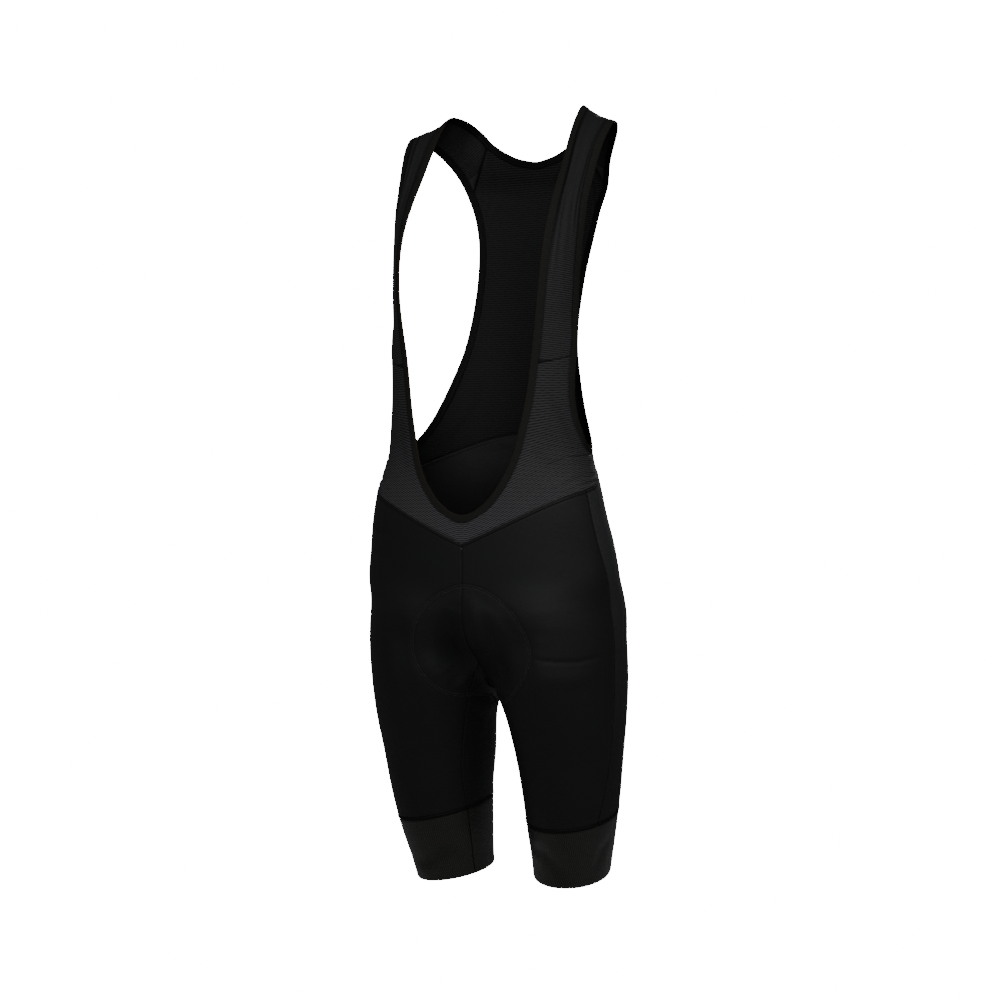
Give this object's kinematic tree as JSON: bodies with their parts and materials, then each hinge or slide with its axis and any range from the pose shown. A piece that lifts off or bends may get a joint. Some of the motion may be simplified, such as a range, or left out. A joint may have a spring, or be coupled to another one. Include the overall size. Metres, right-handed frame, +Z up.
{
  "type": "cycling bib shorts",
  "caption": "Cycling bib shorts, hollow in the worn shape: mesh bib with low U front and straps, padded seat, side panels and elastic leg grippers.",
  "frame": {"origin": "midway between the two shoulder straps, at the height of their crests, where the wearer's shoulders carry the garment", "axes": "+X to the wearer's left, -Y to the front, +Z up; X = 0 is the centre plane"},
  "size_m": [0.3192, 0.2123, 0.9252],
  "materials": {
    "lycra": "matte, smooth warp knit of polyamide and elastane",
    "bib_mesh": "matte, finely ribbed open knit of polyester",
    "back_mesh": "matte, finely ribbed open knit of polyester",
    "side_knit": "matte, charcoal knit of polyamide and elastane",
    "gripper_knit": "matte, ribbed elastic knit",
    "elastic": "matte, flat woven elastic",
    "pad_foam": "matte, moulded foam faced with brushed knit"
  },
  "bodies": {
    "root": {"neck_binding": "elastic", "armhole_binding_left": "elastic", "armhole_binding_right": "elastic", "strap_left": "bib_mesh", "strap_right": "bib_mesh", "bib_front": "bib_mesh", "back_panel": "back_mesh", "front_left": "lycra", "front_right": "lycra", "side_left": "side_knit", "side_right": "side_knit", "seat_left": "lycra", "seat_right": "lycra", "gripper_left": "gripper_knit", "gripper_right": "gripper_knit", "pad": "pad_foam"}
  },
  "joints": []
}
